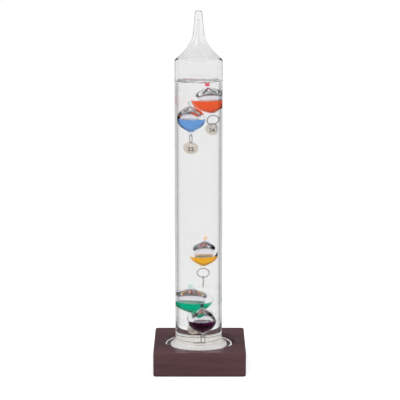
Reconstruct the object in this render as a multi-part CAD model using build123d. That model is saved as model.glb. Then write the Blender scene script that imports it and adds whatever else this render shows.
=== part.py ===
from build123d import *
from math import acos, cos, degrees, radians, sin, sqrt
import os

# Galileo thermometer. A sealed glass tube of clear liquid holds five blown glass floats, each
# with a tinted filling, a wire ring and a metal tag. The tube's pressed foot stands loose in
# a round recess of a square wooden base.
# Millimetres, +Z up. The origin is the middle of the base's underside, and the front faces -Y.
# Half sections are drawn as (radius, height) and turned about the axis.

# Wooden base
base_side = 75.0
base_height = 20.0
base_corner_radius = 2.5
base_edge_round = 0.9
recess_depth = 8.0
recess_clearance = 1.7
recess_edge_round = 0.6

# Glass tube and its foot
tube_height = 280.0
tube_radius = 19.2
tube_wall = 1.95
tube_shift = -0.8
foot_radius = 27.7
foot_rim_height = 5.4
foot_top_rise = 0.8
foot_edge_round = 1.3
foot_sweep_radius = 5.8
hollow_radius = 22.0
hollow_depth = 0.9
floor_thickness = 3.5
floor_corner_radius = 13.0

# Drawn and sealed end of the tube
shoulder_round = 2.6
neck_length = 24.2
neck_radius = 4.2
neck_bore_radius = 2.2
neck_bore_length = 8.0
neck_bore_end_radius = 0.8
seal_length = 15.0
seal_radius = 2.7
seal_round = 1.7

# Clear liquid
liquid_depth = 220.1
liquid_gap = 0.3

# Blown bulb of a float, with heights measured from its middle
bulb_radius = 9.6
bulb_wall = 0.6
dome_angle = 58.0
keel_angle = 56.0
stem_radius = 1.5
stem_bore_radius = 0.6
stem_top = 11.6
stem_round = 0.9
keel_tip_radius = 1.2
keel_bore_radius = 1.0

# Glass eye under the bulb
eye_thickness = 1.4
eye_radius = 1.7
eye_hole_radius = 0.75
eye_drop = 12.25
eye_root = 10.3
eye_round = 0.35

# Tinted drop that closes the stem
drop_radius = 1.25
drop_height = 2.9
drop_round = 1.1
plug_length = 2.2

# Wire ring and metal tag
wire_radius = 0.3
ring_radius = 3.7
ring_gap = 0.2
link_gap = 0.2
tag_radius = 5.0
tag_thickness = 0.5
tag_hole_radius = 0.9
tag_hole_inset = 1.8
tag_edge_chamfer = 0.1

# How the floats lie in the tube
bulb_gap = 1.0
red_immersion = 0.6
yellow_hover = 41.8
purple_stand = 23.7
purple_tag_slide = 28.0
tag_floor_gap = 0.3

# Heights and places that follow from the sizes above
recess_floor = base_height - recess_depth
recess_radius = foot_radius + recess_clearance
bore_radius = tube_radius - tube_wall
tube_top = recess_floor + tube_height
shoulder = tube_top - seal_length - neck_length
tube_floor = recess_floor + floor_thickness
surface = tube_floor + liquid_depth
drop_top = stem_top + drop_height
wire_drop = eye_drop + eye_hole_radius - wire_radius - link_gap
hole_drop = tag_hole_radius - wire_radius - link_gap
tag_drop = hole_drop + tag_radius - tag_hole_inset

# Each float: where it leans on the bore, the gap left there, its lean, the way its eye
# faces, and the level of its filling above the bulb's middle
FLOATS = {
    "red": {"azimuth": 36.2, "wall_gap": 0.55, "lean": -6.0, "yaw": 50.0, "level": 0.0},
    "blue": {"azimuth": 224.3, "wall_gap": 0.35, "lean": -1.5, "yaw": 72.0, "level": 0.0},
    "yellow": {"azimuth": -48.8, "wall_gap": 2.35, "lean": 3.0, "yaw": 0.0, "level": -2.2},
    "green": {"azimuth": 114.4, "wall_gap": 0.40, "lean": -3.7, "yaw": -45.0, "level": -1.2},
    "purple": {"azimuth": -67.6, "wall_gap": 0.95, "lean": -1.4, "yaw": 114.7, "level": 0.0},
}


def half_section(*edges):
    """The face inside edges given in order round it, stood up in the XZ plane."""
    return Plane.XZ * make_face(Curve() + list(edges))


def lines(*points):
    """Straight edges from point to point."""
    return [Line(a, b) for a, b in zip(points, points[1:])]


def turned(section):
    """The solid that a half section makes when it is turned about the axis."""
    return revolve(section, Axis.Z)


def rounded(section, corners):
    """A half section with the corner nearest to each given point rounded."""
    for (radius, height), size in corners:
        spot = Vector(radius, 0, height)
        corner = section.vertices().sort_by(lambda v: (Vector(v) - spot).length)[0]
        section = fillet(corner, size)
    return section


def wooden_base():
    """A square block with a turned recess for the foot of the tube."""
    outline = RectangleRounded(base_side, base_side, base_corner_radius)
    block = extrude(outline, base_height)
    block = fillet(block.faces().filter_by(Axis.Z).edges(), base_edge_round)
    block -= Pos(0, 0, recess_floor) * extrude(Circle(recess_radius), recess_depth)
    rim = block.faces().sort_by(Axis.Z)[-1].inner_wires()[0].edges()
    return fillet(rim, recess_edge_round)


def neck(start_radius, end_radius):
    """The parabola along which the tube narrows from its shoulder to its neck."""
    start = (start_radius, shoulder)
    bend = (end_radius, shoulder + neck_length / 2)
    return Bezier(start, bend, (end_radius, shoulder + neck_length))


def glass_outside():
    """The tube, its drawn end and its foot as one solid lump."""
    hollow_edge = (hollow_radius, recess_floor)
    foot_top = recess_floor + foot_rim_height
    sweep_corner = (tube_radius, foot_top + foot_top_rise)
    section = half_section(
        TangentArc((0, recess_floor + hollow_depth), hollow_edge, tangent=(1, 0)),
        *lines(
            hollow_edge,
            (foot_radius, recess_floor),
            (foot_radius, foot_top),
            sweep_corner,
            (tube_radius, shoulder),
        ),
        neck(tube_radius, neck_radius),
        *lines(
            (neck_radius, shoulder + neck_length),
            (seal_radius, tube_top),
            (0, tube_top),
            (0, recess_floor + hollow_depth),
        ),
    )
    corners = [
        ((foot_radius, recess_floor), foot_edge_round),
        ((foot_radius, foot_top), foot_edge_round),
        (sweep_corner, foot_sweep_radius),
        ((tube_radius, shoulder), shoulder_round),
        ((seal_radius, tube_top), seal_round),
    ]
    return turned(rounded(section, corners))


def bore():
    """The room inside the tube, from its rounded floor to the closed end of its neck."""
    bore_top = shoulder + neck_length + neck_bore_length
    section = half_section(
        *lines((0, tube_floor), (bore_radius, tube_floor), (bore_radius, shoulder)),
        neck(bore_radius, neck_bore_radius),
        *lines(
            (neck_bore_radius, shoulder + neck_length),
            (neck_bore_end_radius, bore_top),
            (0, bore_top),
            (0, tube_floor),
        ),
    )
    corners = [
        ((bore_radius, tube_floor), floor_corner_radius),
        ((bore_radius, shoulder), shoulder_round),
    ]
    return turned(rounded(section, corners))


def teardrop(radius, neck_radius, neck_top, tip_radius):
    """A ball whose dome and keel run out in cones, to a stem above and a blunt tip below."""
    dome, keel = radians(dome_angle), radians(keel_angle)
    dome_start = (radius * cos(dome), radius * sin(dome))
    keel_start = (radius * cos(keel), -radius * sin(keel))
    stem_foot = (neck_radius, dome_start[1] + (dome_start[0] - neck_radius) * cos(dome) / sin(dome))
    tip = (tip_radius, keel_start[1] - (keel_start[0] - tip_radius) * cos(keel) / sin(keel))
    section = half_section(
        *lines((0, tip[1]), tip, keel_start),
        ThreePointArc(keel_start, (radius, 0), dome_start),
        *lines(dome_start, stem_foot, (neck_radius, neck_top), (0, neck_top), (0, tip[1])),
    )
    return section, stem_foot


def upright_disc(radius, drop, thickness):
    """A disc that faces along X, its middle a given distance below the origin."""
    return extrude(Plane.YZ * Pos(0, -drop) * Circle(radius), thickness / 2, both=True)


def eye_plate(radius, thickness):
    """The flat lug under a bulb, round at its lower end."""
    shank = Pos(0, -(eye_root + eye_drop) / 2) * Rectangle(2 * radius, eye_drop - eye_root)
    outline = shank + Pos(0, -eye_drop) * Circle(radius)
    return extrude(Plane.YZ * outline, thickness / 2, both=True)


def bulb_cavity():
    """The hollow of a bulb and its stem."""
    section, _ = teardrop(
        bulb_radius - bulb_wall, stem_bore_radius, stem_top, keel_bore_radius
    )
    return turned(section)


def glass_bulb():
    """A blown bulb with an open stem above and a glass eye below."""
    section, stem_foot = teardrop(bulb_radius, stem_radius, stem_top, keel_tip_radius)
    plate = eye_plate(eye_radius, eye_thickness)
    plate = fillet(plate.faces().filter_by(Axis.X).edges(), eye_round)
    hole = upright_disc(eye_hole_radius, eye_drop, 2 * eye_thickness)
    return turned(rounded(section, [(stem_foot, stem_round)])) + plate - hole - bulb_cavity()


def sealing_drop():
    """The tinted drop on the stem, with the plug that it leaves in the bore."""
    plug_end = stem_top - plug_length
    section = half_section(
        *lines(
            (0, plug_end),
            (stem_bore_radius, plug_end),
            (stem_bore_radius, stem_top),
            (drop_radius, stem_top),
            (drop_radius, drop_top),
            (0, drop_top),
            (0, plug_end),
        )
    )
    return turned(rounded(section, [((drop_radius, drop_top), drop_round)]))


def wire_ring():
    """A jump ring about Y, with the narrow gap that it was closed to at one side."""
    closed_arc = 360 - degrees(ring_gap / ring_radius)
    return revolve(Pos(ring_radius, 0) * Circle(wire_radius), Axis.Y, closed_arc)


def metal_tag():
    """A thin round tag that hangs by the hole near its edge, drawn about the wire."""
    disc = upright_disc(tag_radius, tag_drop, tag_thickness)
    disc = chamfer(disc.edges(), tag_edge_chamfer)
    return disc - upright_disc(tag_hole_radius, hole_drop, 2 * tag_thickness)


def middles():
    """The middle of each bulb: from the surface down, and from the floor up."""
    flat = {
        name: Vector(bore_radius - bulb_radius - f["wall_gap"], 0).rotate(Axis.Z, f["azimuth"])
        for name, f in FLOATS.items()
    }

    def stacked(a, b):
        apart = (flat[a] - flat[b]).length
        return sqrt((2 * bulb_radius + bulb_gap) ** 2 - apart**2)

    height = {"red": surface - red_immersion - drop_top, "purple": tube_floor + purple_stand}
    height["blue"] = height["red"] - stacked("red", "blue")
    height["green"] = height["purple"] + stacked("green", "purple")
    height["yellow"] = height["green"] + yellow_hover
    return {n: Vector(tube_shift + flat[n].X, flat[n].Y, height[n]) for n in FLOATS}


def places(name, middle):
    """Where the bulb, the wire ring and the tag of a float stand."""
    float_ = FLOATS[name]
    leaning = Pos(middle) * Rot(0, float_["lean"], 0)
    hook = (leaning * Pos(0, 0, -wire_drop)).position
    ring = Pos(hook) * Rot(0, 0, float_["yaw"]) * Pos(0, 0, -ring_radius)
    tag = ring * Pos(0, 0, -ring_radius)
    if name == "purple":
        tag = ring * lying_tag(ring.position.Z - tube_floor)
    return leaning * Rot(0, 0, float_["yaw"]), ring, tag


def lying_tag(ring_height):
    """Where a tag lies that has slid round its ring and rests its far edge on the floor."""
    slide = radians(purple_tag_slide)
    held = ring_height - ring_radius * cos(slide)
    room = held - tag_floor_gap - tag_thickness / 2
    lie = degrees(acos(room / (2 * tag_radius - tag_hole_inset)))
    wire = Pos(ring_radius * sin(slide), 0, -ring_radius * cos(slide))
    return wire * Rot(0, -lie, 0) * Pos(0, 0, hole_drop)


def wetted_room(bulb, ring, tag):
    """What a float and its links keep the liquid out of, a little larger than they are."""
    section, _ = teardrop(
        bulb_radius + liquid_gap, stem_radius + liquid_gap,
        drop_top + liquid_gap, keel_tip_radius + liquid_gap,
    )
    body = turned(section) + eye_plate(eye_radius + liquid_gap, eye_thickness + 2 * liquid_gap)
    wire = revolve(Pos(ring_radius, 0) * Circle(wire_radius + liquid_gap), Axis.Y, 360)
    disc = upright_disc(tag_radius + liquid_gap, tag_drop, tag_thickness + 2 * liquid_gap)
    return [bulb * body, ring * wire, tag * disc]


def filling(bulb, middle, level):
    """The tinted liquid in a bulb, level however the bulb leans."""
    side = 4 * bulb_radius
    below = Pos(middle.X, middle.Y, middle.Z + level - side / 2) * Box(side, side, side)
    return bulb * bulb_cavity() & below


def clear_liquid(rooms):
    """The liquid in the tube, with room for every float."""
    section = half_section(
        *lines(
            (0, tube_floor), (bore_radius, tube_floor), (bore_radius, surface), (0, surface),
            (0, tube_floor),
        )
    )
    body = Pos(tube_shift, 0, 0) * turned(
        rounded(section, [((bore_radius, tube_floor), floor_corner_radius)])
    )
    for room in rooms:
        body -= room
    return body


def thermometer():
    """Every piece of the thermometer by name, each where it stands."""
    glass = glass_outside() - bore()
    pieces = {"wooden_base": wooden_base(), "glass_tube": Pos(tube_shift, 0, 0) * glass}
    bulb, drop, ring, tag = glass_bulb(), sealing_drop(), wire_ring(), metal_tag()
    rooms = []
    for name, middle in middles().items():
        at_bulb, at_ring, at_tag = places(name, middle)
        pieces[f"{name}_bulb"] = at_bulb * bulb
        pieces[f"{name}_filling"] = filling(at_bulb, middle, FLOATS[name]["level"])
        pieces[f"{name}_sealing_drop"] = at_bulb * drop
        pieces[f"{name}_wire_ring"] = at_ring * ring
        pieces[f"{name}_tag"] = at_tag * tag
        rooms += wetted_room(at_bulb, at_ring, at_tag)
    pieces["clear_liquid"] = clear_liquid(rooms)
    return pieces


os.makedirs("parts", exist_ok=True)
for piece_name, piece in thermometer().items():
    export_step(piece, f"parts/{piece_name}.step")
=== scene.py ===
import bpy
from math import acos, cos, exp, pi, radians, sin, tan
from mathutils import Matrix, Vector

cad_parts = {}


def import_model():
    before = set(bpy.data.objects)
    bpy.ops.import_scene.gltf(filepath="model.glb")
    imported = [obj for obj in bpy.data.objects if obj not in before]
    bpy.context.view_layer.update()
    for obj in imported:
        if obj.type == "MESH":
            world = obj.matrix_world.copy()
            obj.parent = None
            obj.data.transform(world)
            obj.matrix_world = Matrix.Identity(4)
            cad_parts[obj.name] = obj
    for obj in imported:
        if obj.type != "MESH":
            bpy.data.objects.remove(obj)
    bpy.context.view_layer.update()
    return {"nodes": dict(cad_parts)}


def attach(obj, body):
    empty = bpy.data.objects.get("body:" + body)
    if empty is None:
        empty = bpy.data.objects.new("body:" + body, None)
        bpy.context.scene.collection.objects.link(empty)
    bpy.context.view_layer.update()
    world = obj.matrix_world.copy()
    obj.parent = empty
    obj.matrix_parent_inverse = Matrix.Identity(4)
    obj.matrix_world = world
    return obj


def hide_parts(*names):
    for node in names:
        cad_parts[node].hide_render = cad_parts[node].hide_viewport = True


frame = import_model()

# Galileo thermometer. Sizes are millimetres, as in the part's source; pieces are made in metres.
MM = 0.001

# Tube, foot and liquid
TUBE_SHIFT = -0.8
TUBE_RADIUS = 19.2
BORE_RADIUS = 17.25
FOOT_Z = 12.0
FOOT_RADIUS = 27.7
FOOT_RIM_HEIGHT = 5.4
FOOT_TOP_RISE = 0.8
FOOT_EDGE_ROUND = 1.3
FOOT_SWEEP_RADIUS = 5.8
HOLLOW_RADIUS = 22.0
HOLLOW_DEPTH = 0.9
FLOOR_Z = 15.5
FLOOR_CORNER_RADIUS = 13.0
SURFACE_Z = 235.6
SHOULDER_Z = 252.8
NECK_LENGTH = 24.2
NECK_RADIUS = 4.2
NECK_BORE_RADIUS = 2.2
SHOULDER_ROUND = 2.6
TUBE_TOP_Z = 292.0
SEAL_LENGTH = 15
SEAL_RADIUS = 2.7
SEAL_ROUND = 1.7
BORE_END_DROP = 7
BORE_END_RADIUS = 0.8
BORE_END_ROUND = 0.5
MENISCUS_RISE = 1.0
MENISCUS_REACH = 1.3
# The foot's clear finish ends where the liquid's straight wall starts
FOOT_FINISH_Z = 28.5
# Liquid and fillings reach a hair into the glass, so that light meets their walls in order
WALL_OVERLAP = 0.06
GLASS_IOR = 1.5
LIQUID_IOR = 1.44
FILLING_IOR = 1.36
GLASS_IN_LIQUID_IOR = 1.045

# Float
BULB_RADIUS = 9.6
CAVITY_RADIUS = 9.0
DOME_ANGLE = 58.0
KEEL_ANGLE = 56.0
STEM_RADIUS = 1.5
STEM_TOP = 11.6
STEM_BORE_RADIUS = 0.6
STEM_BORE_TOP = STEM_TOP - 0.5
KEEL_TIP_RADIUS = 1.2
CAVITY_TIP_RADIUS = 1.0
STEM_FOOT_ROUND = 0.9
BORE_FOOT_ROUND = 0.6
EYE_DROP = 12.25
EYE_RADIUS = 1.7
EYE_THICKNESS = 1.4
EYE_HOLE_RADIUS = 0.75
EYE_ROUND = 0.35
EYE_SHANK = 2.0
DROP_RADIUS = 1.25
DROP_TIP_RADIUS = 0.62
DROP_HEIGHT = 2.9
WIRE_DROP = 12.5
RING_RADIUS = 3.7
WIRE_RADIUS = 0.3
RING_GAP_ANGLE = 0.054
TAG_RADIUS = 5.0
TAG_THICKNESS = 0.5
TAG_DROP = 3.6
TAG_HOLE_RADIUS = 0.9
TAG_HOLE_INSET = 1.8
HOLE_DROP = 0.4
NUMBER_SIZE = 4.6
NUMBER_DROP = 1.1
# The purple tag lies against the tube's floor, its hole slid round the ring
PURPLE_TAG_SLIDE = 28.0
TAG_FLOOR_GAP = 0.3

# Middle of each bulb, its lean, the way its eye faces, the level of its filling above the
# middle, and the number stamped on its tag
FLOATS = {
    "red": ((4.929, 4.193, 220.5), -6.0, 50.0, 0.0, "24"),
    "blue": ((-6.025, -5.098, 206.297), -1.5, 72.0, 0.0, "22"),
    "yellow": ((2.691, -3.988, 95.612), 3.0, 0.0, -2.2, "20"),
    "green": ((-3.795, 6.602, 53.812), -3.7, -45.0, -1.2, "18"),
    "purple": ((1.753, -6.194, 39.2), -1.4, 114.7, 0.0, "16"),
}


# Making shapes

def deselect():
    if bpy.context.object and bpy.context.object.mode != "OBJECT":
        bpy.ops.object.mode_set(mode="OBJECT")
    bpy.ops.object.select_all(action="DESELECT")


def take(piece):
    """Make one piece the selected and active one."""
    deselect()
    piece.select_set(True)
    bpy.context.view_layer.objects.active = piece


def rounded_path(corners, steps=6):
    """Points along straight runs between (radius, height, rounding) corners, arcs at the corners."""
    path = []
    for i, (x, z, size) in enumerate(corners):
        here = Vector((x, z))
        if not size:
            path.append(here)
            continue
        back = (Vector(corners[i - 1][:2]) - here).normalized()
        on = (Vector(corners[i + 1][:2]) - here).normalized()
        half = back.angle(on) / 2
        middle = here + (back + on).normalized() * size / sin(half)
        start = here + back * size / tan(half) - middle
        end = here + on * size / tan(half) - middle
        turn = start.angle_signed(end)
        for k in range(steps + 1):
            way = start.copy()
            way.rotate(Matrix.Rotation(-turn * k / steps, 2))
            path.append(middle + way)
    return path


def arc(radius, first, last, steps):
    """Points of a circle about the origin between two angles in degrees."""
    return [
        Vector((radius * cos(radians(first + (last - first) * k / steps)),
                radius * sin(radians(first + (last - first) * k / steps))))
        for k in range(steps + 1)
    ]


def turned(name, path, steps, inside=False):
    """A closed piece made by spinning a half section of (radius, height) points about Z."""
    deselect()
    bpy.ops.mesh.primitive_plane_add(size=MM)
    piece = bpy.context.object
    piece.name = name
    bpy.ops.object.mode_set(mode="EDIT")
    bpy.ops.mesh.merge(type="CENTER")
    bpy.ops.transform.translate(value=(path[0][0] * MM, 0, path[0][1] * MM))
    for a, b in zip(path, path[1:]):
        step = ((b[0] - a[0]) * MM, 0, (b[1] - a[1]) * MM)
        bpy.ops.mesh.extrude_vertices_move(TRANSFORM_OT_translate={"value": step})
    bpy.ops.mesh.select_all(action="SELECT")
    bpy.ops.mesh.spin(steps=steps, angle=2 * pi, center=(0, 0, 0), axis=(0, 0, 1))
    bpy.ops.mesh.select_all(action="SELECT")
    bpy.ops.mesh.remove_doubles(threshold=0.002 * MM)
    bpy.ops.mesh.normals_make_consistent(inside=inside)
    bpy.ops.object.mode_set(mode="OBJECT")
    return piece


def smooth(piece, angle):
    """Shade smooth, but for edges sharper than an angle in degrees."""
    take(piece)
    bpy.ops.object.shade_smooth_by_angle(angle=radians(angle))
    return piece


def joined(name, *pieces):
    """Several pieces as one, which keeps the first one's materials first."""
    deselect()
    for piece in pieces:
        piece.select_set(True)
    bpy.context.view_layer.objects.active = pieces[0]
    bpy.ops.object.join()
    pieces[0].name = name
    return pieces[0]


def boolean(piece, tool, operation):
    """Unite with, or cut, another piece, which is used up."""
    take(piece)
    change = piece.modifiers.new("shape", "BOOLEAN")
    change.operation = operation
    change.solver = "EXACT"
    change.object = tool
    bpy.ops.object.modifier_apply(modifier=change.name)
    bpy.data.objects.remove(tool)
    return piece


def copied(piece, name, place):
    """A copy with its own mesh, put where a matrix says, its place in its mesh."""
    twin = piece.copy()
    twin.data = piece.data.copy()
    twin.name = name
    bpy.context.collection.objects.link(twin)
    twin.matrix_world = place
    take(twin)
    bpy.ops.object.transform_apply(location=True, rotation=True, scale=True)
    return twin


def dropped(piece):
    bpy.data.objects.remove(piece)


def dress(piece, *finishes):
    """Give a piece its finishes, one per slot."""
    while len(piece.data.materials) < len(finishes):
        piece.data.materials.append(None)
    for i, finish in enumerate(finishes):
        piece.material_slots[i].link = "DATA"
        piece.material_slots[i].material = finish
    return piece


def finish_where(piece, slot, test):
    """Give the faces whose middle passes a test the finish in a slot."""
    for face in piece.data.polygons:
        if test(face.center / MM):
            face.material_index = slot


def split_level(piece, height):
    """Cut a ring of edges round a piece at a height, keeping both sides."""
    take(piece)
    bpy.ops.object.mode_set(mode="EDIT")
    bpy.ops.mesh.select_all(action="SELECT")
    bpy.ops.mesh.bisect(plane_co=(0, 0, height * MM), plane_no=(0, 0, 1))
    bpy.ops.object.mode_set(mode="OBJECT")


# Making finishes

class Finish:
    """A material with its shader, and short ways to add nodes to it."""

    def __init__(self, name, **values):
        self.material = bpy.data.materials.new(name)
        self.material.use_nodes = True
        self.nodes = self.material.node_tree.nodes
        self.links = self.material.node_tree.links
        self.shader = self.nodes["Principled BSDF"]
        self.out = self.nodes["Material Output"]
        for socket, value in values.items():
            self.shader.inputs[socket.replace("_", " ")].default_value = value

    def add(self, kind, **values):
        node = self.nodes.new(kind)
        for key, value in values.items():
            socket = key.replace("_", " ")
            if socket in node.inputs:
                node.inputs[socket].default_value = value
            else:
                setattr(node, key, value)
        return node

    def ramp(self, source, *stops):
        node = self.nodes.new("ShaderNodeValToRGB")
        elements = node.color_ramp.elements
        while len(elements) < len(stops):
            elements.new(0.5)
        for element, (place, colour) in zip(elements, stops):
            element.position = place
            element.color = (*colour, 1)
        self.links.new(source, node.inputs["Fac"])
        return node.outputs["Color"]

    def feed(self, source, socket):
        self.links.new(source, self.shader.inputs[socket])

    def let_lamps_through(self, colour):
        """Lamps light what is behind this glass, because its shadow is only a tint."""
        path = self.add("ShaderNodeLightPath")
        clear = self.add("ShaderNodeBsdfTransparent", Color=(*colour, 1))
        mix = self.add("ShaderNodeMixShader")
        self.links.new(path.outputs["Is Shadow Ray"], mix.inputs[0])
        self.links.new(self.shader.outputs[0], mix.inputs[1])
        self.links.new(clear.outputs[0], mix.inputs[2])
        self.links.new(mix.outputs[0], self.out.inputs["Surface"])


def group(name, inputs, outputs):
    """An empty node group with named inputs, each with its default, and named outputs."""
    tree = bpy.data.node_groups.new(name, "ShaderNodeTree")
    for label, kind, value in inputs:
        socket = tree.interface.new_socket(label, in_out="INPUT", socket_type=kind)
        socket.default_value = value
    for label, kind in outputs:
        tree.interface.new_socket(label, in_out="OUTPUT", socket_type=kind)
    return tree, tree.nodes.new("NodeGroupInput"), tree.nodes.new("NodeGroupOutput")


def blown_surface():
    """The slow waves that blown and drawn glass has, as a height."""
    tree, given, result = group(
        "blown_surface",
        [("Scale", "NodeSocketFloat", 60.0), ("Stretch", "NodeSocketFloat", 0.3)],
        [("Height", "NodeSocketFloat")],
    )
    nodes, links = tree.nodes, tree.links
    where = nodes.new("ShaderNodeTexCoord")
    stretch = nodes.new("ShaderNodeCombineXYZ")
    stretch.inputs["X"].default_value = 1
    stretch.inputs["Y"].default_value = 1
    links.new(given.outputs["Stretch"], stretch.inputs["Z"])
    place = nodes.new("ShaderNodeVectorMath")
    place.operation = "MULTIPLY"
    links.new(where.outputs["Object"], place.inputs[0])
    links.new(stretch.outputs[0], place.inputs[1])
    waves = nodes.new("ShaderNodeTexNoise")
    waves.inputs["Detail"].default_value = 1
    links.new(place.outputs[0], waves.inputs["Vector"])
    links.new(given.outputs["Scale"], waves.inputs["Scale"])
    links.new(waves.outputs["Fac"], result.inputs["Height"])
    return tree


def fine_scratches():
    """Short scratches and a cloudy tarnish for small metal parts."""
    tree, given, result = group(
        "fine_scratches",
        [("Bright", "NodeSocketColor", (0.7, 0.6, 0.5, 1)),
         ("Dull", "NodeSocketColor", (0.3, 0.25, 0.2, 1)),
         ("Scale", "NodeSocketFloat", 900.0)],
        [("Color", "NodeSocketColor"), ("Roughness", "NodeSocketFloat"), ("Height", "NodeSocketFloat")],
    )
    nodes, links = tree.nodes, tree.links
    where = nodes.new("ShaderNodeTexCoord")
    long = nodes.new("ShaderNodeMapping")
    long.inputs["Scale"].default_value = (1, 1, 0.12)
    links.new(where.outputs["Object"], long.inputs["Vector"])
    lines = nodes.new("ShaderNodeTexNoise")
    lines.inputs["Detail"].default_value = 4
    links.new(long.outputs[0], lines.inputs["Vector"])
    links.new(given.outputs["Scale"], lines.inputs["Scale"])
    clouds = nodes.new("ShaderNodeTexNoise")
    clouds.inputs["Scale"].default_value = 260
    links.new(where.outputs["Object"], clouds.inputs["Vector"])
    mix = nodes.new("ShaderNodeMix")
    mix.data_type = "RGBA"
    links.new(clouds.outputs["Fac"], mix.inputs["Factor"])
    links.new(given.outputs["Bright"], mix.inputs["A"])
    links.new(given.outputs["Dull"], mix.inputs["B"])
    links.new(mix.outputs["Result"], result.inputs["Color"])
    rough = nodes.new("ShaderNodeMapRange")
    rough.inputs["To Min"].default_value = 0.22
    rough.inputs["To Max"].default_value = 0.42
    links.new(lines.outputs["Fac"], rough.inputs["Value"])
    links.new(rough.outputs["Result"], result.inputs["Roughness"])
    links.new(lines.outputs["Fac"], result.inputs["Height"])
    return tree


blown_group = blown_surface()
scratch_group = fine_scratches()


def add_waves(finish, scale, stretch, strength):
    """Bend a finish's surface by the slow waves of blown glass."""
    waves = finish.add("ShaderNodeGroup")
    waves.node_tree = blown_group
    waves.inputs["Scale"].default_value = scale
    waves.inputs["Stretch"].default_value = stretch
    bump = finish.add("ShaderNodeBump", Strength=strength, Distance=0.0002)
    finish.links.new(waves.outputs["Height"], bump.inputs["Height"])
    finish.feed(bump.outputs["Normal"], "Normal")


def grey(level):
    return (level, level, level)


def painted_rim_shade(finish, *stops):
    """Paint shade into glass by how far its surface turns from the eye: a painted dark rim for the dark
    of a room.
    """
    facing = finish.add("ShaderNodeLayerWeight", Blend=0.5).outputs["Facing"]
    finish.feed(finish.ramp(facing, *stops), "Base Color")


def dry_glass(name, *stops):
    """Clear drawn glass with air behind it, with painted shade darkening it where it turns from the
    eye.
    """
    finish = Finish(name, Transmission_Weight=1.0, IOR=GLASS_IOR, Roughness=0.0)
    painted_rim_shade(finish, *stops)
    add_waves(finish, 90, 0.12, 0.03)
    finish.let_lamps_through((0.93, 0.94, 0.94))
    return finish.material


def wetted(name, ior):
    """A face between glass and liquid: it bends light and mirrors none."""
    finish = Finish(name, Transmission_Weight=1.0, IOR=ior, Roughness=0.0, Base_Color=(1, 1, 1, 1))
    finish.shader.inputs["Specular Tint"].default_value = (0, 0, 0, 1)
    finish.let_lamps_through((1, 1, 1))
    return finish.material


def liquid_surface():
    """The mirror-smooth top of the liquid."""
    finish = Finish("liquid_surface", Transmission_Weight=1.0, IOR=LIQUID_IOR, Roughness=0.0,
                    Base_Color=(0.97, 0.97, 0.98, 1))
    finish.let_lamps_through((1, 1, 1))
    return finish.material


def ground_glass_painted_glow():
    """The ground underside and rim of the foot, which scatter the light that falls into it; this pale
    finish stands in for the light the clear foot throws back inside itself, and a painted glow
    brightens it further.
    """
    # Painted glow: an emission of 0.2 brightens the ground glass though it is no lamp
    finish = Finish("ground_glass_painted_glow", Roughness=0.5, Base_Color=(0.93, 0.915, 0.89, 1),
                    Emission_Strength=0.2)
    finish.shader.inputs["Emission Color"].default_value = (1.0, 0.97, 0.94, 1)
    add_waves(finish, 700, 1.0, 0.3)
    return finish.material


def bulb_outside():
    """Blown glass against the liquid: it bends light only a little, so only its rim shows, drawn there
    by a painted dark rim.
    """
    finish = Finish("bulb_glass_wet", Transmission_Weight=1.0, IOR=GLASS_IN_LIQUID_IOR, Roughness=0.0)
    painted_rim_shade(finish, (0.0, grey(0.98)), (0.8, grey(0.98)), (0.93, (0.7, 0.68, 0.71)),
             (1.0, grey(0.6)))
    add_waves(finish, 160, 1.0, 0.05)
    finish.let_lamps_through(grey(0.97))
    return finish.material


def bulb_inside():
    """The dry inner wall of a bulb's dome, with a painted violet-grey reflection of the dark above it,
    darker where it turns from the eye.
    """
    finish = Finish("bulb_glass_dry", Transmission_Weight=1.0, IOR=GLASS_IOR, Roughness=0.0)
    painted_rim_shade(finish, (0.0, (0.93, 0.92, 0.95)), (0.6, (0.82, 0.79, 0.88)),
             (0.85, (0.58, 0.53, 0.66)), (1.0, grey(0.5)))
    add_waves(finish, 260, 1.0, 0.08)
    finish.let_lamps_through(grey(0.96))
    return finish.material


def tinted_liquid(name, pale, painted_wall_shade):
    """A filling's wall: its tint in the middle, with painted shade darkening it where it is seen along
    its wall.
    """
    finish = Finish(name, Transmission_Weight=1.0, IOR=FILLING_IOR, Roughness=0.0)
    finish.shader.inputs["Specular Tint"].default_value = (0, 0, 0, 1)
    painted_rim_shade(finish, (0.0, pale), (0.55, pale), (1.0, painted_wall_shade))
    finish.let_lamps_through(pale)
    return finish.material


def tinted_surface(name, colour):
    """The top of a filling."""
    finish = Finish(name, Transmission_Weight=1.0, IOR=FILLING_IOR, Roughness=0.0,
                    Base_Color=(*colour, 1))
    finish.let_lamps_through(colour)
    return finish.material


def drop_resin(name, colour):
    """The clear tinted resin that closes a stem."""
    finish = Finish(name, Transmission_Weight=0.9, IOR=1.1, Roughness=0.05, Base_Color=(*colour, 1))
    finish.let_lamps_through(colour)
    return finish.material


def metal(name, bright, dull, scale):
    """Scratched and slightly tarnished metal between two tones."""
    finish = Finish(name, Metallic=1.0)
    scratches = finish.add("ShaderNodeGroup")
    scratches.node_tree = scratch_group
    scratches.inputs["Bright"].default_value = (*bright, 1)
    scratches.inputs["Dull"].default_value = (*dull, 1)
    scratches.inputs["Scale"].default_value = scale
    finish.feed(scratches.outputs["Color"], "Base Color")
    finish.feed(scratches.outputs["Roughness"], "Roughness")
    bump = finish.add("ShaderNodeBump", Strength=0.15, Distance=0.00003)
    finish.links.new(scratches.outputs["Height"], bump.inputs["Height"])
    finish.feed(bump.outputs["Normal"], "Normal")
    return finish.material


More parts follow.
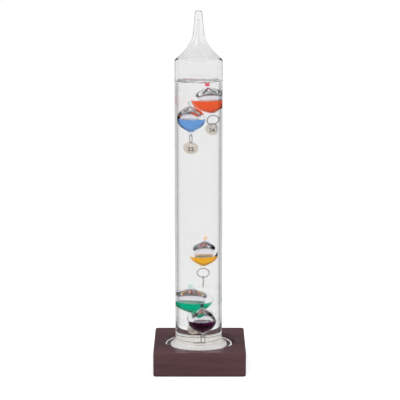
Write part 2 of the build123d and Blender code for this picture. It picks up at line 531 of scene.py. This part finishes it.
def stained_wood():
    """Dark red-brown stained wood under a satin lacquer, its grain along X."""
    finish = Finish("stained_wood", Coat_Weight=0.12, Coat_Roughness=0.2)
    finish.shader.inputs["Specular IOR Level"].default_value = 0.3
    add, links = finish.add, finish.links
    where = add("ShaderNodeTexCoord")
    along = add("ShaderNodeMapping", Scale=(0.05, 1, 1))
    links.new(where.outputs["Object"], along.inputs["Vector"])
    drift = add("ShaderNodeTexNoise", Scale=60.0, Detail=3.0)
    links.new(along.outputs[0], drift.inputs["Vector"])
    bands = add("ShaderNodeTexWave", Scale=38.0, Distortion=9.0, Detail=3.0, Detail_Scale=1.6)
    bands.bands_direction = "Z"
    links.new(along.outputs[0], bands.inputs["Vector"])
    fibres = add("ShaderNodeMapping", Scale=(0.035, 1, 1))
    links.new(where.outputs["Object"], fibres.inputs["Vector"])
    fibre = add("ShaderNodeTexNoise", Scale=1500.0, Detail=4.0, Roughness=0.6)
    links.new(fibres.outputs[0], fibre.inputs["Vector"])
    broad = finish.ramp(drift.outputs["Fac"],
                        (0.3, (0.082, 0.043, 0.046)), (0.7, (0.122, 0.053, 0.060)))
    stripe = finish.ramp(bands.outputs["Fac"], (0.2, (0.93, 0.92, 0.92)), (0.8, (1.03, 1.03, 1.03)))
    tone = add("ShaderNodeMix")
    tone.data_type, tone.blend_type = "RGBA", "MULTIPLY"
    tone.inputs["Factor"].default_value = 0.75
    links.new(broad, tone.inputs["A"])
    links.new(stripe, tone.inputs["B"])
    pores = finish.ramp(fibre.outputs["Fac"], (0.34, (0.62, 0.6, 0.6)), (0.52, (1.03, 1.03, 1.03)))
    wood = add("ShaderNodeMix")
    wood.data_type, wood.blend_type = "RGBA", "MULTIPLY"
    wood.inputs["Factor"].default_value = 0.55
    links.new(tone.outputs["Result"], wood.inputs["A"])
    links.new(pores, wood.inputs["B"])
    finish.feed(wood.outputs["Result"], "Base Color")
    rough = add("ShaderNodeMapRange", To_Min=0.46, To_Max=0.32)
    links.new(fibre.outputs["Fac"], rough.inputs["Value"])
    finish.feed(rough.outputs["Result"], "Roughness")
    bump = add("ShaderNodeBump", Strength=0.25, Distance=0.0001)
    links.new(fibre.outputs["Fac"], bump.inputs["Height"])
    finish.feed(bump.outputs["Normal"], "Normal")
    return finish.material


# Painted shade: the dry tube glass is tinted darker where it turns from the eye, for the dark of the
# room seen at its rim
DRY_GLASS = dry_glass(
    "tube_glass_dry", (0.0, (0.925, 0.92, 0.92)), (0.6, (0.925, 0.92, 0.92)),
    (0.85, grey(0.86)), (1.0, grey(0.72)),
)
# Painted shade: dark bands where the wetted tube turns from the eye, in place of the dark surroundings
# seen through its edges
WET_GLASS = dry_glass(
    "tube_glass_wet", (0.0, (0.85, 0.85, 0.855)), (0.38, (0.84, 0.84, 0.845)), (0.48, grey(0.58)),
    (0.55, grey(0.28)), (0.62, grey(0.30)), (0.69, grey(0.8)), (1.0, grey(0.95)),
)
# Painted shade: the foot's glass darkens towards its rim
FOOT_GLASS = dry_glass(
    "foot_glass", (0.0, grey(0.97)), (0.8, grey(0.95)), (0.95, grey(0.85)), (1.0, grey(0.7)),
)
GROUND_GLASS_PAINTED_GLOW = ground_glass_painted_glow()
WETTED_BORE = wetted("wetted_bore", GLASS_IOR)
LIQUID_WALL = wetted("liquid_wall", LIQUID_IOR)
LIQUID_SURFACE = liquid_surface()
BULB_OUTSIDE = bulb_outside()
BULB_INSIDE = bulb_inside()
WETTED_CAVITY = wetted("wetted_cavity", GLASS_IOR)
WIRE_METAL = metal("wire_metal", (0.50, 0.46, 0.44), (0.22, 0.20, 0.19), 1600)
TAG_METAL = metal("tag_metal", (0.90, 0.83, 0.73), (0.62, 0.55, 0.48), 1100)
NUMBER_INK = Finish("number_ink", Base_Color=(0.05, 0.045, 0.05, 1), Roughness=0.6).material
# Each filling's tint in its middle, and the painted shade that darkens it along its wall
TINTS_AND_WALL_SHADES = {
    "red": ((1.0, 0.13, 0.04), (0.55, 0.01, 0.03)),
    "blue": ((0.18, 0.41, 0.83), (0.20, 0.30, 0.72)),
    "yellow": ((1.0, 0.48, 0.03), (0.92, 0.32, 0.01)),
    "green": ((0.0, 0.47, 0.25), (0.02, 0.32, 0.18)),
    "purple": ((0.055, 0.0, 0.032), (0.02, 0.0, 0.015)),
}
FILLINGS = {
    name: (tinted_liquid(f"{name}_liquid", *tint_and_wall_shade), tinted_surface(f"{name}_liquid_top", tint_and_wall_shade[0]))
    for name, tint_and_wall_shade in TINTS_AND_WALL_SHADES.items()
}
DROPS = {
    "red": drop_resin("red_drop", (0.85, 0.13, 0.22)),
    "blue": drop_resin("blue_drop", (0.66, 0.90, 0.86)),
    "yellow": drop_resin("yellow_drop", (1.0, 0.72, 0.50)),
    "green": drop_resin("green_drop", (0.66, 0.92, 0.80)),
    "purple": drop_resin("purple_drop", (0.30, 0.16, 0.26)),
}


# Tube and liquid

def neck_path(start_radius, end_radius, steps):
    """The parabola along which the tube narrows."""
    a, b = Vector((start_radius, SHOULDER_Z)), Vector((end_radius, SHOULDER_Z + NECK_LENGTH / 2))
    c = Vector((end_radius, SHOULDER_Z + NECK_LENGTH))
    path = []
    for k in range(1, steps + 1):
        t = k / steps
        path.append(a * (1 - t) ** 2 + b * 2 * t * (1 - t) + c * t**2)
    return path


def shoulder_path(radius, end_radius, size):
    """The shoulder's rounding, then the narrowing neck."""
    neck = neck_path(radius, end_radius, 16)
    start = Vector((radius, SHOULDER_Z))
    way = (neck[0] - start).normalized()
    bend = rounded_path([(radius, SHOULDER_Z - 10, 0), (radius, SHOULDER_Z, size),
                         (*(start + way * 10), 0)], 6)[1:-1]
    return bend + [p for p in neck if p[1] > bend[-1][1] + 0.2]


def shifted(piece):
    """A piece moved from the base's middle to the tube's."""
    take(piece)
    bpy.ops.transform.translate(value=(TUBE_SHIFT * MM, 0, 0))
    bpy.ops.object.transform_apply(location=True)
    return piece


def tube_outside():
    """The half section of foot, tube, shoulder and sealed tip."""
    rim_top = FOOT_Z + FOOT_RIM_HEIGHT
    path = [
        Vector((HOLLOW_RADIUS * k / 8, FOOT_Z + HOLLOW_DEPTH * (1 - (k / 8) ** 2)))
        for k in range(9)
    ]
    path += rounded_path([
        (HOLLOW_RADIUS, FOOT_Z, 0),
        (FOOT_RADIUS, FOOT_Z, FOOT_EDGE_ROUND),
        (FOOT_RADIUS, rim_top, FOOT_EDGE_ROUND),
        (TUBE_RADIUS, rim_top + FOOT_TOP_RISE, FOOT_SWEEP_RADIUS),
        (TUBE_RADIUS, 40, 0),
    ], 8)[1:]
    path += [Vector((TUBE_RADIUS, z)) for z in (120, 200, SURFACE_Z)]
    path += shoulder_path(TUBE_RADIUS, NECK_RADIUS, SHOULDER_ROUND)
    path += rounded_path([
        (NECK_RADIUS, TUBE_TOP_Z - SEAL_LENGTH, 0),
        (SEAL_RADIUS, TUBE_TOP_Z, SEAL_ROUND),
        (0, TUBE_TOP_Z, 0),
    ], 6)[1:]
    return path


def tube_bore(wet_top):
    """The half section of the tube's inside."""
    bore_end = TUBE_TOP_Z - BORE_END_DROP
    path = rounded_path([
        (0, FLOOR_Z, 0),
        (BORE_RADIUS, FLOOR_Z, FLOOR_CORNER_RADIUS),
        (BORE_RADIUS, 60, 0),
    ], 14)
    path += [Vector((BORE_RADIUS, z)) for z in (120, 200, wet_top)]
    path += shoulder_path(BORE_RADIUS, NECK_BORE_RADIUS, SHOULDER_ROUND)
    path += rounded_path([
        (NECK_BORE_RADIUS, TUBE_TOP_Z - SEAL_LENGTH, 0),
        (BORE_END_RADIUS, bore_end, BORE_END_ROUND),
        (0, bore_end, 0),
    ], 4)[1:]
    return path


def tube():
    """The sealed glass, its finish going by what is behind each part of it."""
    shell = turned("tube", tube_outside(), 128)
    split_level(shell, FOOT_FINISH_Z)
    dress(shell, DRY_GLASS, WET_GLASS, FOOT_GLASS, GROUND_GLASS_PAINTED_GLOW, WETTED_BORE)
    finish_where(shell, 1, lambda c: c.z < SURFACE_Z)
    finish_where(shell, 2, lambda c: c.z < FOOT_FINISH_Z)
    # The ground finish also covers the foot's outer rim, a pale painted sheet that stands in for the
    # light caught inside the clear foot
    finish_where(shell, 3, lambda c: c.z < FOOT_Z + 0.95 or (c.z < 18.6 and c.xy.length > 26))
    wet_top = SURFACE_Z + 0.9
    bore = turned("bore", tube_bore(wet_top), 128, inside=True)
    dress(bore, DRY_GLASS, WETTED_BORE)
    finish_where(bore, 1, lambda c: c.z < wet_top)
    return smooth(shifted(joined("tube", shell, bore)), 40)


def liquid():
    """The liquid, which reaches just into the glass and climbs a little up its wall."""
    radius = BORE_RADIUS + WALL_OVERLAP
    bottom = FLOOR_Z - WALL_OVERLAP
    path = rounded_path([
        (0, bottom, 0),
        (radius, bottom, FLOOR_CORNER_RADIUS + WALL_OVERLAP),
        (radius, 60, 0),
    ], 14)
    path += [Vector((radius, z)) for z in (120, 200, SURFACE_Z + MENISCUS_RISE)]
    for k in range(11):
        inward = 0.08 + 5.0 * (k / 10) ** 1.6
        rise = MENISCUS_RISE * exp(-inward / MENISCUS_REACH)
        path.append(Vector((radius - inward, SURFACE_Z + rise)))
    path += [Vector((8, SURFACE_Z)), Vector((0, SURFACE_Z))]
    piece = turned("liquid", path, 128)
    dress(piece, LIQUID_WALL, LIQUID_SURFACE)
    finish_where(piece, 1, lambda c: c.z > SURFACE_Z - 1 and c.xy.length < radius - 0.03)
    return smooth(shifted(piece), 60)


# Floats

def teardrop(radius, neck_radius, neck_top, tip_radius, round_neck):
    """The half section of a bulb or of its cavity: keel, ball, dome and stem."""
    dome, keel = radians(DOME_ANGLE), radians(KEEL_ANGLE)
    dome_start = Vector((radius * cos(dome), radius * sin(dome)))
    keel_start = Vector((radius * cos(keel), -radius * sin(keel)))
    stem_foot = (neck_radius, dome_start.y + (dome_start.x - neck_radius) / tan(dome))
    tip = Vector((tip_radius, keel_start.y - (keel_start.x - tip_radius) / tan(keel)))
    path = [Vector((0, tip.y)), tip] + arc(radius, -KEEL_ANGLE, DOME_ANGLE, 26)
    path += rounded_path([
        (*dome_start, 0),
        (*stem_foot, round_neck),
        (neck_radius, neck_top, 0),
    ], 5)[1:-1]
    path += rounded_path([(neck_radius, stem_foot[1], 0), (neck_radius, neck_top, neck_radius * 0.4),
                          (0, neck_top, 0)], 3)[1:]
    return path


def disc_at(drop, radius, depth, corners):
    """A disc facing X, a drop below the origin."""
    deselect()
    bpy.ops.mesh.primitive_cylinder_add(
        vertices=corners, radius=radius * MM, depth=depth * MM,
        location=(0, 0, -drop * MM), rotation=(0, pi / 2, 0),
    )
    return bpy.context.object


def rounded_edges(piece, width, segments):
    take(piece)
    edge = piece.modifiers.new("edge", "BEVEL")
    edge.width = width * MM
    edge.segments = segments
    edge.limit_method = "ANGLE"
    bpy.ops.object.modifier_apply(modifier=edge.name)


def eye_plate():
    """The flat lug with its hole, rounded all round, its upper half stretched into the keel."""
    plate = disc_at(EYE_DROP, EYE_RADIUS, EYE_THICKNESS, 40)
    bpy.ops.object.transform_apply(location=True, rotation=True)
    for vertex in plate.data.vertices:
        above = vertex.co.z / MM + EYE_DROP
        if above > 0.05:
            vertex.co.z += EYE_SHANK * MM * above / EYE_RADIUS
    rounded_edges(plate, EYE_ROUND, 4)
    return boolean(plate, disc_at(EYE_DROP, EYE_HOLE_RADIUS, 4, 32), "DIFFERENCE")


def bulb_shell():
    """The outside of a bulb with its eye."""
    section = teardrop(BULB_RADIUS, STEM_RADIUS, STEM_TOP, KEEL_TIP_RADIUS, STEM_FOOT_ROUND)
    shell = turned("bulb", section, 72)
    boolean(shell, eye_plate(), "UNION")
    return dress(smooth(shell, 50), BULB_OUTSIDE)


def cavity_section(grown):
    """The half section of a bulb's cavity, grown by a hair where a filling needs it."""
    return teardrop(CAVITY_RADIUS + grown, STEM_BORE_RADIUS + grown, STEM_BORE_TOP,
                    CAVITY_TIP_RADIUS + grown, BORE_FOOT_ROUND)


def bulb_cavity():
    """The inner wall of a bulb, its faces turned inwards."""
    cavity = turned("cavity", cavity_section(0), 72, inside=True)
    return dress(smooth(cavity, 50), BULB_INSIDE, WETTED_CAVITY)


def bulb(name, shell, cavity, place, level):
    """A bulb where it hangs, its inner wall wetted up to the level of its filling."""
    outer = copied(shell, name, place)
    inner = copied(cavity, "inner", place)
    split_level(inner, level)
    finish_where(inner, 1, lambda c: c.z < level)
    return joined(name, outer, inner)


def filling_form():
    """A full cavity, a hair larger, from which each filling is cut at its level."""
    return turned("filling", cavity_section(WALL_OVERLAP), 72)


def cut_level(piece, level):
    """Keep what lies under the level, with a low meniscus round its top."""
    take(piece)
    bpy.ops.object.mode_set(mode="EDIT")
    bpy.ops.mesh.select_all(action="SELECT")
    bpy.ops.mesh.bisect(plane_co=(0, 0, level * MM), plane_no=(0, 0, 1),
                        use_fill=True, clear_outer=True)
    bpy.ops.mesh.inset(thickness=0.45 * MM, depth=-0.16 * MM)
    bpy.ops.mesh.inset(thickness=0.9 * MM, depth=-0.12 * MM)
    bpy.ops.object.mode_set(mode="OBJECT")
    finish_where(piece, 1, lambda c: c.z > level - 0.5)
    return smooth(piece, 35)


def drop():
    """The tinted drop that closes a stem."""
    foot, top = STEM_TOP + 0.02, STEM_TOP + DROP_HEIGHT
    path = rounded_path([
        (0, foot, 0),
        (DROP_RADIUS, foot, 0.2),
        (DROP_RADIUS, STEM_TOP + 1.4, 0.7),
        (DROP_TIP_RADIUS, top, 0.5),
        (0, top, 0),
    ], 5)
    return smooth(turned("drop", path, 40), 60)


def wire_ring():
    """A jump ring in the XZ plane, closed but for a hair."""
    deselect()
    bpy.ops.mesh.primitive_circle_add(vertices=14, radius=WIRE_RADIUS * MM, fill_type="NGON",
                                      location=(RING_RADIUS * MM, 0, 0))
    ring = bpy.context.object
    bpy.ops.object.transform_apply(location=True)
    bpy.ops.object.mode_set(mode="EDIT")
    bpy.ops.mesh.select_all(action="SELECT")
    bpy.ops.mesh.spin(steps=72, angle=2 * pi - RING_GAP_ANGLE, center=(0, 0, 0), axis=(0, 1, 0))
    bpy.ops.mesh.select_all(action="SELECT")
    bpy.ops.mesh.normals_make_consistent(inside=False)
    bpy.ops.object.mode_set(mode="OBJECT")
    return dress(smooth(ring, 50), WIRE_METAL)


def tag():
    """A thin stamped disc with its hole, drawn about the wire that it hangs on."""
    disc = disc_at(TAG_DROP, TAG_RADIUS, TAG_THICKNESS, 72)
    bpy.ops.object.transform_apply(location=True, rotation=True)
    boolean(disc, disc_at(HOLE_DROP, TAG_HOLE_RADIUS, 2, 36), "DIFFERENCE")
    rounded_edges(disc, 0.09, 2)
    return dress(smooth(disc, 40), TAG_METAL)


def tag_number(digits):
    """A number in thin raised ink on both faces of a tag."""
    # Text is drawn in the XY plane; this stands it up, facing X
    upright = Matrix(((0, 0, 1, 0), (1, 0, 0, 0), (0, 1, 0, 0), (0, 0, 0, 1)))
    outward = (TAG_THICKNESS / 2 + 0.006) * MM
    sides = []
    for side, half_turn in ((1, 0), (-1, pi)):
        deselect()
        bpy.ops.object.text_add()
        word = bpy.context.object
        word.data.body = digits
        word.data.align_x = "CENTER"
        word.data.align_y = "CENTER"
        word.data.size = NUMBER_SIZE * MM
        word.data.extrude = 0.012 * MM
        word.data.offset = 0.05 * MM
        word.data.resolution_u = 4
        bpy.ops.object.convert(target="MESH")
        face = Matrix.Translation((side * outward, 0, -(TAG_DROP + NUMBER_DROP) * MM))
        word.matrix_world = face @ Matrix.Rotation(half_turn, 4, "Z") @ upright
        bpy.ops.object.transform_apply(location=True, rotation=True, scale=True)
        sides.append(word)
    return dress(joined("number", *sides), NUMBER_INK)


def lying_tag(ring):
    """Where the lowest tag lies: its hole on the ring, its far edge on the tube's floor."""
    slide = radians(PURPLE_TAG_SLIDE)
    sideways, down = RING_RADIUS * sin(slide), RING_RADIUS * cos(slide)
    held = ring.translation.z / MM - FLOOR_Z - down
    lie = acos((held - TAG_FLOOR_GAP - TAG_THICKNESS / 2) / (2 * TAG_RADIUS - TAG_HOLE_INSET))
    wire = Matrix.Translation((sideways * MM, 0, -down * MM))
    back = Matrix.Translation((0, 0, HOLE_DROP * MM))
    return ring @ wire @ Matrix.Rotation(-lie, 4, "Y") @ back


def places(middle, lean, yaw, name):
    """Where the bulb, the ring and the tag of a float stand, as matrices in metres."""
    leaning = Matrix.Translation(Vector(middle) * MM) @ Matrix.Rotation(radians(lean), 4, "Y")
    facing = Matrix.Rotation(radians(yaw), 4, "Z")
    hook = leaning @ Vector((0, 0, -WIRE_DROP * MM))
    ring = Matrix.Translation(hook) @ facing @ Matrix.Translation((0, 0, -RING_RADIUS * MM))
    hang = ring @ Matrix.Translation((0, 0, -RING_RADIUS * MM))
    if name == "purple":
        hang = lying_tag(ring)
    return leaning @ facing, ring, hang


def ride(piece, body, slot, *nodes):
    """Let a piece move with a body and hide the named solids that it stands in for; the slot is not
    used.
    """
    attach(piece, body)
    if nodes:
        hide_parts(*nodes)


def floats():
    """The five floats, each copied from the same patterns to where it hangs."""
    shell, cavity, form = bulb_shell(), bulb_cavity(), filling_form()
    seal, ring, disc = drop(), wire_ring(), tag()
    for name, (middle, lean, yaw, level, digits) in FLOATS.items():
        at_bulb, at_ring, at_tag = places(middle, lean, yaw, name)
        body, link, pendant = f"{name}_float", f"{name}_link", f"{name}_pendant"
        top = middle[2] + level
        glass = bulb(f"{name}_glass_bulb", shell, cavity, at_bulb, top)
        ride(glass, body, "clear_glass", f"{name}_bulb")
        fill = dress(copied(form, f"{name}_tinted_filling", at_bulb), *FILLINGS[name])
        ride(cut_level(fill, top), body, f"{name}_liquid", f"{name}_filling")
        cap = dress(copied(seal, f"{name}_stem_drop", at_bulb), DROPS[name])
        ride(cap, body, f"{name}_drop", f"{name}_sealing_drop")
        wire = copied(ring, f"{name}_jump_ring", at_ring)
        ride(wire, link, "ring_wire", f"{name}_wire_ring")
        plate = copied(disc, f"{name}_hanging_tag", at_tag)
        ride(plate, pendant, "tag_metal", f"{name}_tag")
        number = tag_number(digits)
        ride(copied(number, f"{name}_tag_number", at_tag), pendant, "tag_metal")
        dropped(number)
    for pattern in (shell, cavity, form, seal, ring, disc):
        dropped(pattern)


# Studio

FLOOR_GLOW = 0.45
FLOOR_GLOW_THROUGH_GLASS = 0.16
SKY_LEVEL = 0.95
# Brightness by the height looked at, which is 0 at the horizon and 1 overhead
SKY_THROUGH_GLASS = (
    (0.0, 1.0), (0.40, 1.0), (0.50, 0.20), (0.84, 0.15),
    (0.87, 0.9), (0.92, 0.9), (0.95, 0.2), (1.0, 0.2),
)
MIRRORED_SKY = ((0.0, 0.05), (0.5, 0.08), (0.58, 0.6), (0.75, 0.6), (0.85, 0.08), (1.0, 0.08))


def camera():
    """Set to the photo's view."""
    data = bpy.data.cameras.new("camera")
    data.lens = 143.9
    data.sensor_width = 36
    data.clip_start = 0.05
    view = bpy.data.objects.new("camera", data)
    view.location = (0.00032, -1.2756, 0.398)
    view.rotation_euler = (radians(90 - 11.506), 0, 0)
    bpy.context.collection.objects.link(view)
    bpy.context.scene.camera = view


def lamp(name, place, aim, size, power):
    """A soft rectangular lamp turned towards a point."""
    data = bpy.data.lights.new(name, "AREA")
    data.shape = "RECTANGLE"
    data.size, data.size_y = size
    data.energy = power
    light = bpy.data.objects.new(name, data)
    light.location = place
    light.rotation_euler = (Vector(aim) - Vector(place)).to_track_quat("-Z", "Y").to_euler()
    bpy.context.collection.objects.link(light)


def floor():
    """White where it is seen or shows through glass, dim in mirrored light, fading out at its rim."""
    deselect()
    bpy.ops.mesh.primitive_circle_add(vertices=64, radius=0.5, fill_type="NGON",
                                      location=(0, 0, -0.00005))
    disc = bpy.context.object
    disc.name = "studio_floor"
    finish = Finish("studio_floor", Base_Color=(0.8, 0.8, 0.8, 1), Roughness=0.9)
    finish.shader.inputs["Specular IOR Level"].default_value = 0.0
    path = finish.add("ShaderNodeLightPath")
    seen = finish.add("ShaderNodeMath", operation="MAXIMUM")
    finish.links.new(path.outputs["Is Camera Ray"], seen.inputs[0])
    finish.links.new(path.outputs["Is Transmission Ray"], seen.inputs[1])
    glow = finish.add("ShaderNodeEmission", Color=(1, 1, 1, 1))
    direct = finish.add("ShaderNodeMath", operation="MULTIPLY")
    finish.links.new(path.outputs["Is Camera Ray"], direct.inputs[0])
    direct.inputs[1].default_value = FLOOR_GLOW
    amount = finish.add("ShaderNodeMath", operation="MULTIPLY_ADD")
    finish.links.new(path.outputs["Is Transmission Ray"], amount.inputs[0])
    amount.inputs[1].default_value = FLOOR_GLOW_THROUGH_GLASS
    finish.links.new(direct.outputs[0], amount.inputs[2])
    finish.links.new(amount.outputs[0], glow.inputs["Strength"])
    both = finish.add("ShaderNodeAddShader")
    finish.links.new(finish.shader.outputs[0], both.inputs[0])
    finish.links.new(glow.outputs[0], both.inputs[1])
    mirrored = finish.add("ShaderNodeMath", operation="SUBTRACT", use_clamp=True)
    finish.links.new(path.outputs["Is Glossy Ray"], mirrored.inputs[0])
    finish.links.new(seen.outputs[0], mirrored.inputs[1])
    dim = finish.add("ShaderNodeEmission", Color=(0.06, 0.06, 0.06, 1), Strength=1.0)
    mix = finish.add("ShaderNodeMixShader")
    finish.links.new(mirrored.outputs[0], mix.inputs[0])
    finish.links.new(both.outputs[0], mix.inputs[1])
    finish.links.new(dim.outputs[0], mix.inputs[2])
    where = finish.add("ShaderNodeTexCoord")
    away = finish.add("ShaderNodeVectorMath", operation="LENGTH")
    finish.links.new(where.outputs["Object"], away.inputs[0])
    fade = finish.add("ShaderNodeMapRange", From_Min=0.2, From_Max=0.48)
    finish.links.new(away.outputs["Value"], fade.inputs["Value"])
    clear = finish.add("ShaderNodeBsdfTransparent")
    edge = finish.add("ShaderNodeMixShader")
    finish.links.new(fade.outputs["Result"], edge.inputs[0])
    finish.links.new(mix.outputs[0], edge.inputs[1])
    finish.links.new(clear.outputs[0], edge.inputs[2])
    finish.links.new(edge.outputs[0], finish.out.inputs["Surface"])
    dress(disc, finish.material)


def sky(nodes, links, height, *stops):
    """A background whose brightness goes by the height that is looked at."""
    ramp = nodes.new("ShaderNodeValToRGB")
    while len(ramp.color_ramp.elements) < len(stops):
        ramp.color_ramp.elements.new(0.5)
    for element, (place, level) in zip(ramp.color_ramp.elements, stops):
        element.position = place
        element.color = (level, level, level, 1)
    links.new(height, ramp.inputs["Fac"])
    shade = nodes.new("ShaderNodeBackground")
    links.new(ramp.outputs["Color"], shade.inputs["Color"])
    return shade.outputs[0]


def world():
    """White to the eye and through glass; the mirrored room is dim, with a light band overhead."""
    studio = bpy.data.worlds.new("studio")
    bpy.context.scene.world = studio
    studio.use_nodes = True
    nodes, links = studio.node_tree.nodes, studio.node_tree.links
    soft = nodes["Background"]
    soft.inputs["Color"].default_value = (1, 1, 1, 1)
    soft.inputs["Strength"].default_value = SKY_LEVEL
    where = nodes.new("ShaderNodeTexCoord")
    split = nodes.new("ShaderNodeSeparateXYZ")
    links.new(where.outputs["Generated"], split.inputs[0])
    white = nodes.new("ShaderNodeBackground")
    white.inputs["Color"].default_value = (1, 1, 1, 1)
    path = nodes.new("ShaderNodeLightPath")
    shade = soft.outputs[0]
    views = (
        ("Is Glossy Ray", sky(nodes, links, split.outputs["Z"], *MIRRORED_SKY)),
        ("Is Transmission Ray", sky(nodes, links, split.outputs["Z"], *SKY_THROUGH_GLASS)),
        ("Is Camera Ray", white.outputs[0]),
    )
    for kind, view in views:
        mix = nodes.new("ShaderNodeMixShader")
        links.new(path.outputs[kind], mix.inputs[0])
        links.new(shade, mix.inputs[1])
        links.new(view, mix.inputs[2])
        shade = mix.outputs[0]
    links.new(shade, nodes["World Output"].inputs["Surface"])


camera()
floor()
world()
lamp("key", (-0.7, -0.8, 1.1), (0, 0, 0.12), (0.7, 0.7), 3.5)
lamp("fill", (0.9, -0.5, 0.7), (0, 0, 0.1), (0.6, 0.9), 1.8)

scene = bpy.context.scene
scene.view_settings.view_transform = "Standard"
scene.cycles.max_bounces = 32
scene.cycles.transmission_bounces = 32
scene.cycles.glossy_bounces = 12
scene.cycles.transparent_max_bounces = 32

dress(frame["nodes"]["wooden_base"], stained_wood())
ride(tube(), "tube", "clear_glass", "glass_tube")
ride(liquid(), "tube", "clear_liquid", "clear_liquid")
floats()
